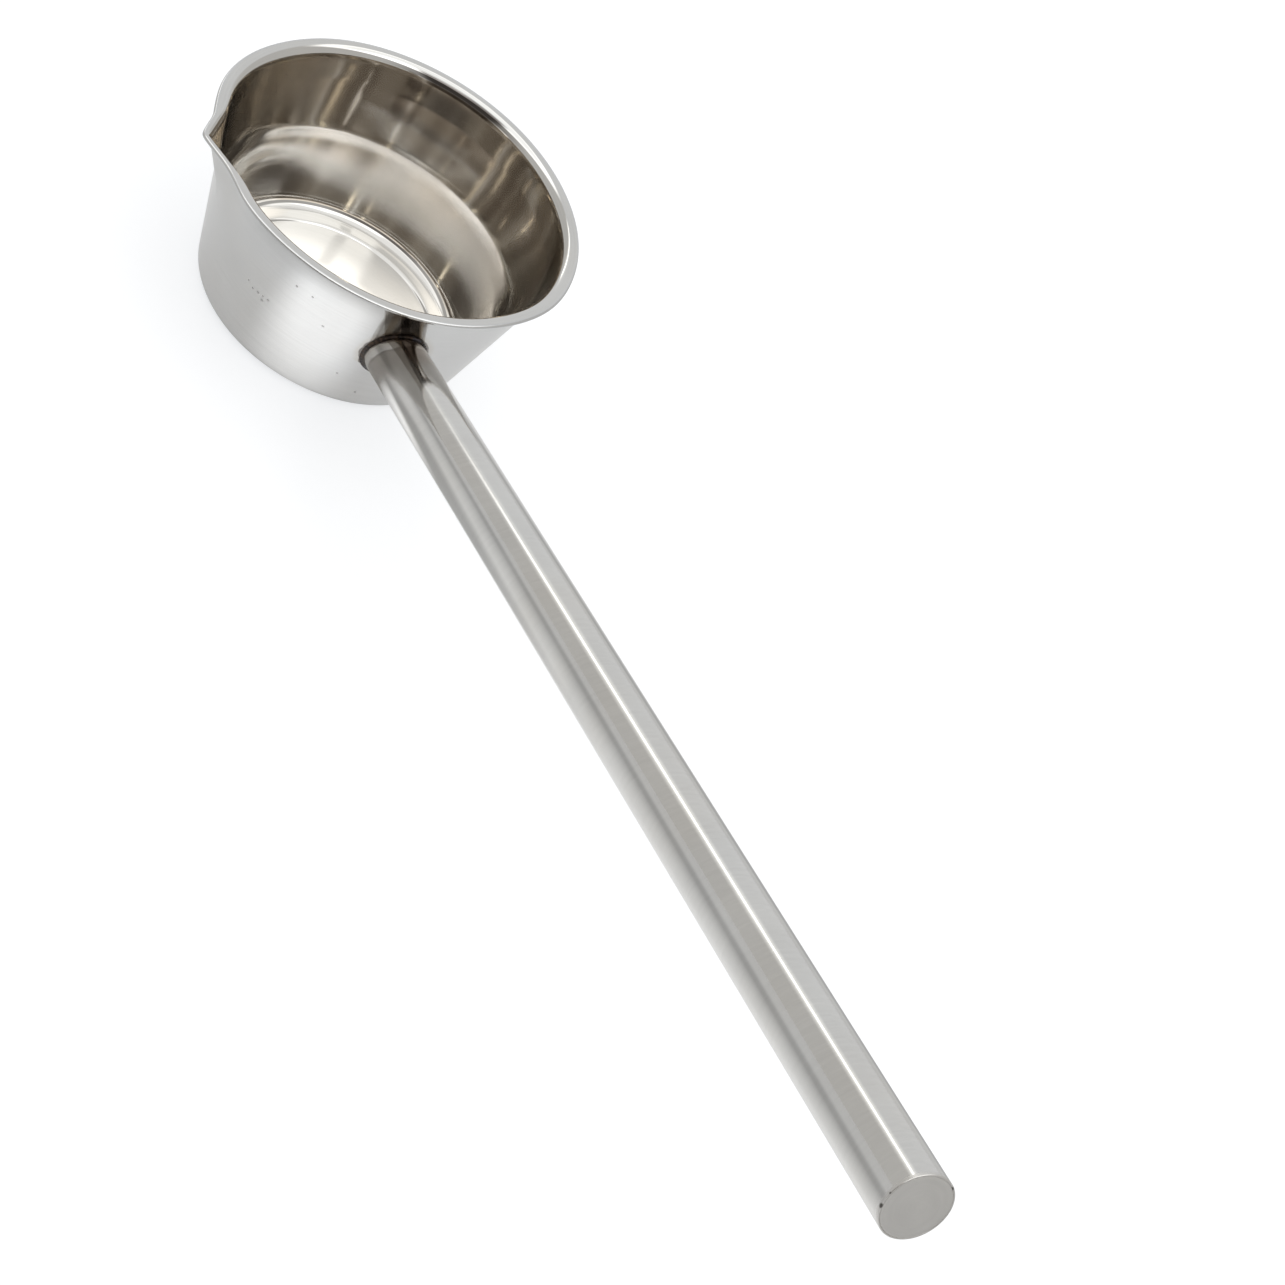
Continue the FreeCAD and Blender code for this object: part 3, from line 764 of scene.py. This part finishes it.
# painted reflection: a dark ring at the edge of the cup's reflection
TUBE_REFLECTION_EDGE = (0.15, 0.125, 0.11)
# painted reflection: a warm dark stripe along the tube's top
TUBE_REFLECTION_STRIPE = (0.27, 0.20, 0.16)
TUBE_BROWN = (0.12, 0.08, 0.06)


def tube_tint(nodes, place, colour, rough):
    """Colour on the tube next to the weld: brown heat colour, then a painted dark ring at the edge
    of the cup's reflection, then straw heat colour that fades out and also darkens the tube as a
    painted dark reflection of the cup's wall, and a warmer, darker stripe of painted reflection
    along its top."""
    warp = nodes.ramp(nodes.noise(place, 170.0, 2.0), 0.3, 0.7, -0.0006, 0.0006, smooth=False)
    gap = nodes.total(wall_gap(nodes, place), warp)
    # straw heat colour, which further out stands in for a painted dark reflection of the cup's
    # wall
    straw = nodes.product(nodes.ramp(gap, 0.0062, 0.0078, 0.25, 1.0),
                          nodes.fade(gap, 0.010, 0.034))
    # painted reflection: a dark ring at the edge of the cup's reflection
    ring = nodes.within(gap, 0.0068, 0.0073, 0.0007)
    # painted reflection: a warm dark stripe along the tube's top
    reflection_stripe = nodes.product(nodes.fade(gap, 0.012, 0.020),
                           nodes.within(nodes.split(place)[1], -0.0045, 0.0035, 0.002))
    patch = nodes.ramp(nodes.noise(place, 75.0, 1.0), 0.42, 0.58, 0.35, 1.0)
    brown = nodes.product(nodes.fade(gap, 0.0012, 0.0026), patch)
    colour = nodes.stain(colour, straw, 0.7, TUBE_STRAW_AND_REFLECTION)
    colour = nodes.stain(colour, ring, 0.45, TUBE_REFLECTION_EDGE)
    colour = nodes.stain(colour, reflection_stripe, 0.45, TUBE_REFLECTION_STRIPE)
    colour = nodes.stain(colour, brown, 0.75, TUBE_BROWN)
    return colour, rough


OXIDE_DARK = (0.030, 0.026, 0.024)
OXIDE_BROWN = (0.08, 0.056, 0.042)
OXIDE_BLUE = (0.10, 0.11, 0.14)


def bead_tint(nodes, place, colour, rough):
    """Oxide on the weld: near black with brown and a little blue."""
    hue = nodes.noise(place, 420.0, 3.0, 0.65)
    colour = nodes.mix(nodes.ramp(hue, 0.42, 0.62), OXIDE_DARK, OXIDE_BROWN)
    blue = nodes.ramp(nodes.noise(place, 150.0, 1.0), 0.55, 0.68)
    colour = nodes.stain(colour, blue, 0.4, OXIDE_BLUE)
    return colour, nodes.ramp(hue, 0.3, 0.7, 0.26, 0.5)


def finish_piece(obj, material):
    obj.data.materials.clear()
    obj.data.materials.append(material)
    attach(obj, "root")


# Studio

FLOOR_SIZE = 30.0
FLOOR_ALBEDO = 0.66
# The floor seen straight on is white: less albedo, and enough glow
SEEN_ALBEDO = -0.32
SEEN_GLOW = 0.74
# Its glow in reflections: near the dipper, and how much less to the sides
GLOW = 0.34
SIDE_GLOW = -0.20
SIDE_DIMMER = 0.33
# the bright patch next to the cup, and the shade under the handle
PATCH_AT = (0.082, -0.042, 0.0)
PATCH_GLOW = 0.60
SHADE = 0.4
GLOW_TINT = (0.985, 1.0, 1.02, 1)


def floor_zones(nodes, seen):
    """How far to the side a point of the floor is, how bright the patch next to the cup is
    there, and what the soft shade under the handle leaves of its light."""
    place = nodes.place()
    x, y = nodes.split(place)[:2]
    reached = seen["Ray Length"]
    aside = nodes.math("ABSOLUTE", y)
    far = nodes.math("SUBTRACT", nodes.ramp(aside, 0.02, 0.27, smooth=False),
                     nodes.ramp(aside, 0.32, 0.6, 0.0, 0.4))
    patch = nodes.fade(nodes.vector("DISTANCE", place, PATCH_AT, out=1), 0.018, 0.050)
    patch = nodes.product(patch, nodes.fade(reached, 0.066, 0.076))
    shade = nodes.product(nodes.ramp(reached, 0.072, 0.082), nodes.fade(reached, 0.095, 0.15),
                          nodes.fade(y, 0.0, 0.02), nodes.ramp(x, 0.0, 0.05))
    return far, patch, nodes.less(shade, SHADE)


def floor_glow(nodes, seen, far, patch, unshaded):
    """The floor's own light, in the steel and seen straight on."""
    glow = nodes.total(nodes.product(patch, PATCH_GLOW),
                       nodes.math("MULTIPLY_ADD", far, SIDE_GLOW, GLOW))
    glow = nodes.product(glow, nodes.less(nodes.deep(seen), 0.7))
    glow = nodes.product(glow, nodes.product(unshaded, seen["Is Glossy Ray"]))
    return nodes.total(glow, nodes.product(seen["Is Camera Ray"], SEEN_GLOW),
                       nodes.product(seen["Is Transmission Ray"], SEEN_GLOW))


def floor_albedo(nodes, seen, far, unshaded):
    """How much light the floor gives back. In the steel it is less to the sides and in the
    shade."""
    albedo = nodes.math("MULTIPLY_ADD", seen["Is Camera Ray"], SEEN_ALBEDO, FLOOR_ALBEDO)
    dimmer = nodes.product(far, SIDE_DIMMER, seen["Is Glossy Ray"])
    albedo = nodes.math("SUBTRACT", albedo, dimmer)
    dimmer = nodes.product(nodes.math("SUBTRACT", 1.0, unshaded), seen["Is Glossy Ray"])
    return nodes.product(albedo, nodes.math("SUBTRACT", 1.0, dimmer))


def floor_material():
    material = bpy.data.materials.new("floor")
    material.use_nodes = True
    tree = material.node_tree
    tree.nodes.clear()
    nodes = Nodes(tree)
    seen = nodes.light_path()
    far, patch, unshaded = floor_zones(nodes, seen)
    albedo = nodes.grey(floor_albedo(nodes, seen, far, unshaded))
    glow = floor_glow(nodes, seen, far, patch, unshaded)
    both = tree.nodes.new("ShaderNodeAddShader")
    tree.links.new(nodes.add("BsdfDiffuse", Color=albedo), both.inputs[0])
    tree.links.new(nodes.add("Emission", Color=GLOW_TINT, Strength=glow), both.inputs[1])
    out = tree.nodes.new("ShaderNodeOutputMaterial")
    tree.links.new(both.outputs[0], out.inputs[0])
    return material


def make_floor():
    """A white floor, which is plainer and dimmer where it shows in the steel."""
    mesh = bpy.data.meshes.new("floor")
    corners = ((-1, -1), (1, -1), (1, 1), (-1, 1))
    mesh.from_pydata([(x * FLOOR_SIZE, y * FLOOR_SIZE, 0) for x, y in corners], [],
                     [(0, 1, 2, 3)])
    floor = bpy.data.objects.new("floor", mesh)
    bpy.context.scene.collection.objects.link(floor)
    floor.data.materials.append(floor_material())


# The camera, solved from the photograph's outlines: its place in metres, its turn about X, Y
# and Z in degrees, and its lens and the width of its sensor in millimetres
CAMERA_AT = (0.87326, -0.48521, 0.79810)
CAMERA_TURN = (43.119, -27.226, 76.748)
LENS = 91.02
SENSOR = 36


def make_camera():
    data = bpy.data.cameras.new("camera")
    data.sensor_width = SENSOR
    data.lens = LENS
    data.clip_end = 100
    camera = bpy.data.objects.new("camera", data)
    turn = Euler([math.radians(part) for part in CAMERA_TURN])
    camera.matrix_world = Matrix.LocRotScale(CAMERA_AT, turn, None)
    bpy.context.scene.collection.objects.link(camera)
    bpy.context.scene.camera = camera


# The room's colours. The walls seen from inside the cup are warm, and the ceiling's low ring
# is brighter there.
WALLS = (0.62, 0.61, 0.59)
COOL_WALLS = (0.80, 0.805, 0.81)
WARM_WALLS = ((0.30, 0.255, 0.205), (0.54, 0.48, 0.405))
DARK_SIDE = (0.12, 0.10, 0.085)
CEILING = (1.38, 1.38, 1.37)
CEILING_RING = ((1.8, 1.79, 1.76), (2.7, 2.62, 2.5))
PANEL = (2.35, 2.35, 2.33)
WINDOW = (2.6, 2.58, 2.5)
WINDOW_AZIMUTH = -174.0
# Small warm lamps that show only inside the cup: round ones as (azimuth, elevation, radius,
# power) and upright ones as (azimuth, from elevation, to elevation, half width, power)
ROUND_LAMPS = ((64, 21, 2.0, 6.0), (-30, 22, 2.6, 7.0), (-70, 21, 1.5, 5.0),
               (110, 24, 1.5, 4.0))
UPRIGHT_LAMPS = ((-164, 32, 42, 1.6, 3.4), (22, 33, 41, 1.4, 3.2), (168, 29, 36, 1.6, 3.0))
ROUND_TINT = (1.0, 0.86, 0.66)
UPRIGHT_TINT = (1.0, 0.9, 0.72)
DEGREES = 57.2958  # in a radian


def towards(azimuth, elevation):
    """The direction of a place in the room."""
    a, e = math.radians(azimuth), math.radians(elevation)
    return (math.cos(e) * math.cos(a), math.cos(e) * math.sin(a), math.sin(e))


def lamp_colour(tint, power):
    return tuple(power * part for part in tint)


class Room:
    """The room round the dipper, as colours by direction. Directions are in degrees."""

    def __init__(self, nodes):
        self.nodes = nodes
        self.way = nodes.add("TexCoord", out=0)
        x, y, z = nodes.split(self.way)
        self.height = nodes.product(nodes.math("ARCSINE", z), DEGREES)
        self.turn = nodes.product(nodes.math("ARCTAN2", y, x), DEGREES)
        self.seen = nodes.light_path()
        self.deep = nodes.deep(self.seen)

    def away(self, azimuth):
        """Degrees of azimuth from a direction."""
        flat = self.nodes.math("SUBTRACT", self.turn, azimuth)
        return self.nodes.math("ABSOLUTE", self.nodes.math("WRAP", flat, 180.0, -180.0))

    def walls(self):
        """Pale and cooler to one side, and dark behind the camera. Seen from inside the cup
        they are darker, warmer and patchy."""
        nodes = self.nodes
        cool = nodes.fade(self.away(155.0), 22.0, 40.0)
        pale = nodes.mix(cool, WALLS, COOL_WALLS)
        patches = nodes.noise(nodes.add("CombineXYZ", X=self.turn), 0.022, 2.0, 0.5)
        warm = nodes.mix(nodes.ramp(patches, 0.35, 0.65), *WARM_WALLS)
        dark_side = nodes.product(nodes.fade(self.away(-38.0), 18.0, 60.0),
                                  nodes.ramp(self.height, 2.0, 10.0))
        return nodes.stain(nodes.mix(self.deep, pale, warm), dark_side, 0.75, DARK_SIDE)

    def ceiling(self):
        """A brighter ring low down, and a bright panel with a gap in it."""
        nodes, height = self.nodes, self.height
        ring = nodes.fade(height, 54.0, 64.0)
        colour = nodes.mix(ring, CEILING, nodes.mix(self.deep, *CEILING_RING))
        panel = nodes.product(nodes.fade(self.away(10.0), 48.0, 62.0),
                              nodes.within(height, 42.0, 72.0, 4.0))
        gap = nodes.product(nodes.fade(self.away(-4.0), 6.0, 7.5),
                            nodes.within(height, 60.5, 69.0, 0.8))
        return nodes.mix(nodes.product(panel, nodes.less(gap, 0.75)), colour, PANEL)

    def with_window(self, colour):
        """One tall narrow window behind the cup, with a faint glow to its sides."""
        nodes = self.nodes
        window = nodes.math("MAXIMUM", nodes.fade(self.away(WINDOW_AZIMUTH), 0.8, 3.6),
                            nodes.ramp(self.away(WINDOW_AZIMUTH), 2.0, 12.0, 0.22, 0.0))
        window = nodes.product(window, nodes.within(self.height, 18.0, 42.0, 4.0),
                               nodes.less(self.deep, 0.45))
        return nodes.mix(window, colour, WINDOW)

    def with_lamps(self, colour):
        """The small lamps that show only inside the cup."""
        nodes = self.nodes
        for azimuth, elevation, radius, power in ROUND_LAMPS:
            side = nodes.vector("DOT_PRODUCT", self.way, towards(azimuth, elevation), out=1)
            lamp = nodes.ramp(side, math.cos(math.radians(radius * 1.5)),
                              math.cos(math.radians(radius)))
            lamp = nodes.product(lamp, self.deep)
            colour = nodes.mix(lamp, colour, lamp_colour(ROUND_TINT, power))
        for azimuth, low, high, width, power in UPRIGHT_LAMPS:
            lamp = nodes.product(nodes.fade(self.away(azimuth), width, width + 1),
                                 nodes.within(self.height, low, high, 1.0))
            lamp = nodes.product(lamp, self.deep)
            colour = nodes.mix(lamp, colour, lamp_colour(UPRIGHT_TINT, power))
        return colour


def make_world():
    """A light room with a bright ceiling. The background itself is plain white."""
    world = bpy.data.worlds.new("world")
    bpy.context.scene.world = world
    world.use_nodes = True
    tree = world.node_tree
    tree.nodes.clear()
    nodes = Nodes(tree)
    room = Room(nodes)
    # the ceiling starts lower for what is seen from inside the cup
    above = nodes.math("MULTIPLY_ADD", room.deep, 8.0, room.height)
    colour = nodes.mix(nodes.ramp(above, 49.0, 55.0), room.walls(), room.ceiling())
    colour = room.with_lamps(room.with_window(colour))

    light = nodes.add("Background", Color=colour, Strength=1.0)
    plain = nodes.add("Background", Color=(1, 1, 1, 1), Strength=1.0)
    pick = tree.nodes.new("ShaderNodeMixShader")
    tree.links.new(room.seen["Is Camera Ray"], pick.inputs[0])
    tree.links.new(light, pick.inputs[1])
    tree.links.new(plain, pick.inputs[2])
    out = tree.nodes.new("ShaderNodeOutputWorld")
    tree.links.new(pick.outputs[0], out.inputs[0])


# Specks on the outside of the cup, as (degrees round it, height, radius), and pits in the
# ground weld, as (degrees round the handle from its top, distance from its axis, radius)
SPECKS = ((-56.9, 35.5, 0.6), (-54.3, 34.0, 0.7), (-51.8, 34.5, 0.9), (-49.5, 34.9, 0.6),
          (-49.3, 32.7, 0.9), (-47.2, 35.2, 0.8), (-40.1, 52.4, 0.8), (-34.0, 52.6, 0.7),
          (-26.6, 41.4, 0.8), (-13.1, 19.6, 0.7), (-2.2, 11.3, 0.8))
PITS = ((-91.1, 11.2, 1.1), (-67.8, 11.2, 0.6), (48.3, 10.3, 0.9))


def cup_specks():
    """The specks on the wall, as (x, y, z, radius) in metres."""
    marks = []
    for turn, height, radius in SPECKS:
        a, reach = math.radians(turn), wall_outside(height)
        marks.append([reach * math.cos(a) * MM, reach * math.sin(a) * MM, height * MM,
                      radius * MM])
    return marks


def weld_pits():
    """The pits at the end of the handle, as (x, y, z, radius) in metres."""
    end = START + HANDLE_LENGTH * ALONG
    marks = []
    for turn, reach, radius in PITS:
        x, y, z = (end + round_axis(math.radians(turn), reach)) * MM
        marks.append([x, y, z, radius * MM])
    return marks


STEEL = (0.66, 0.655, 0.64)
DISC_STEEL = (0.66, 0.65, 0.63)
GROUND_WELD = (0.64, 0.63, 0.61)
OXIDE = (0.16, 0.12, 0.1)

cup = make_cup()
tube = make_tube()
disc = make_end_disc()
seam = make_end_seam()
bead = make_bead()
finish_piece(cup, steel("cup_steel", STEEL, roughness=0.17, grain=0.04, streaks=(26, 9000),
                        anisotropic=0.5, tint=cup_tint, form=cup_form, waves=0.00001,
                        marks=cup_specks(), dark=0.35))
finish_piece(tube, steel("tube_steel", STEEL, roughness=0.11, grain=0.03, streaks=(8, 5000),
                         anisotropic=0.4, tint=tube_tint))
finish_piece(disc, steel("disc_steel", DISC_STEEL, roughness=0.42, grain=0.06, streaks=(4, 900)))
finish_piece(seam, steel("seam_steel", GROUND_WELD, roughness=0.32, grain=0.06,
                         streaks=(20, 3000), marks=weld_pits()))
finish_piece(bead, steel("bead_steel", OXIDE, roughness=0.35, grain=0.05, streaks=(300, 900),
                         tint=bead_tint))
make_floor()
make_camera()
make_world()
bpy.context.scene.view_settings.view_transform = "Standard"
bpy.context.scene.cycles.glossy_bounces = 12
